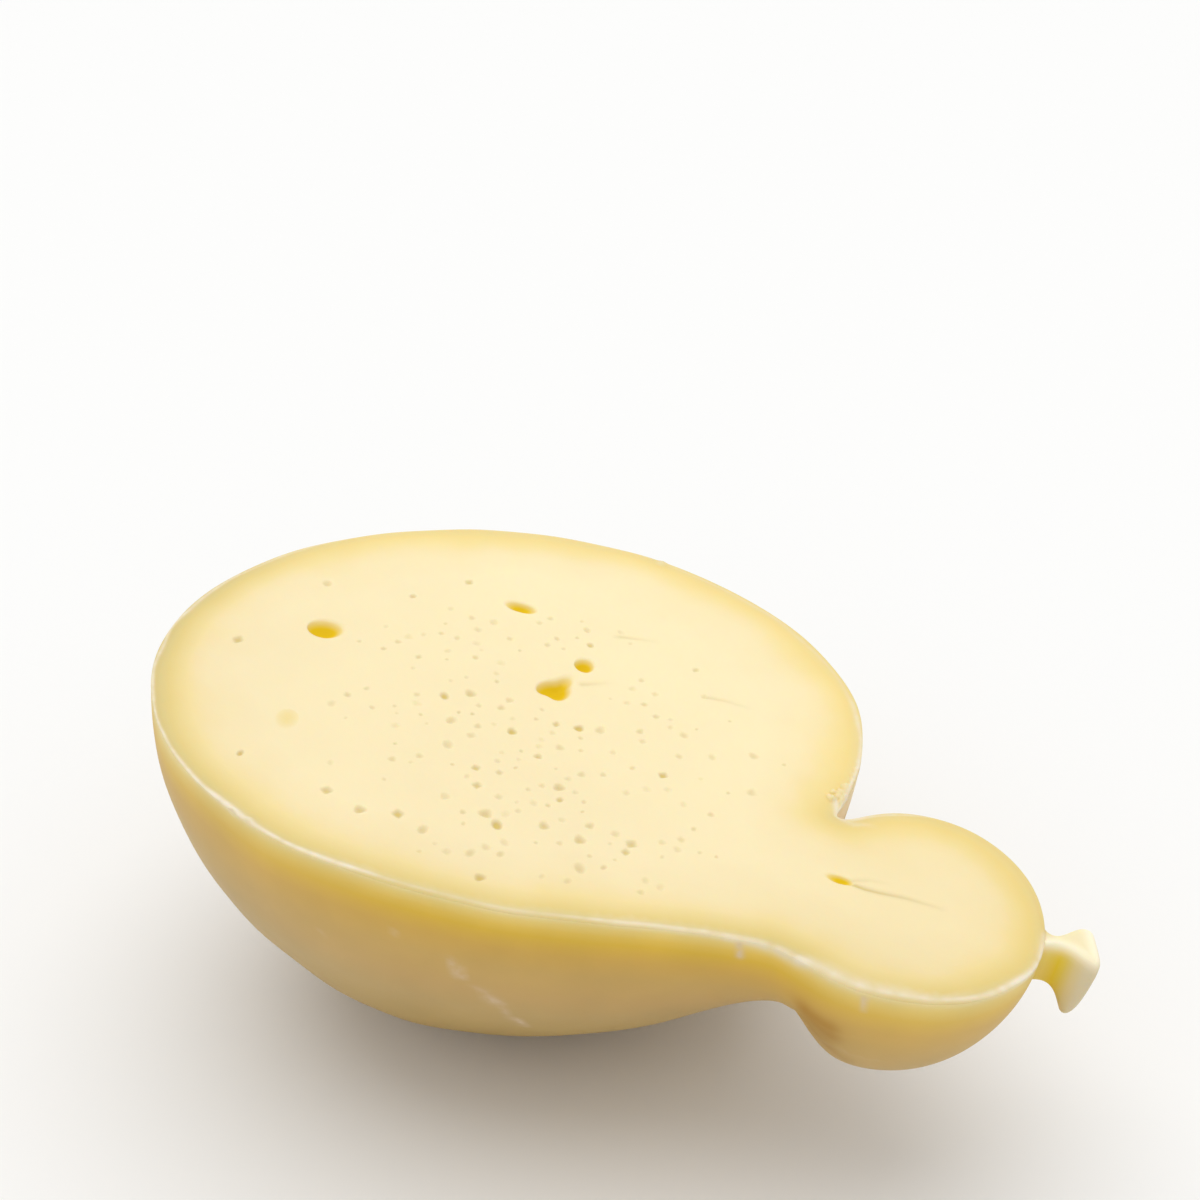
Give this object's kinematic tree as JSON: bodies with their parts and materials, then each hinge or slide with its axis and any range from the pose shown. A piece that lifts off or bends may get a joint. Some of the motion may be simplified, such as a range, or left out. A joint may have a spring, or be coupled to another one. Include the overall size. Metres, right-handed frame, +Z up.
{
  "type": "caciocavallo cheese half",
  "caption": "Half of a pear-shaped stretched-curd cheese cut lengthwise: pale cut face with small eyes, waxy amber rind, tied-in neck, small head and closing nub. Lies on its rind.",
  "frame": {"origin": "on the table, under the middle of the cheese's bounding box", "axes": "+X along the cheese from its blunt end to its head, +Y to the side where the tie bit in, +Z up with the cut face on top"},
  "size_m": [0.2182, 0.154, 0.0873],
  "materials": {
    "cheese": "pale cream cut paste inside a waxy amber rind"
  },
  "bodies": {
    "root": {"cheese_half": "cheese"}
  },
  "joints": []
}
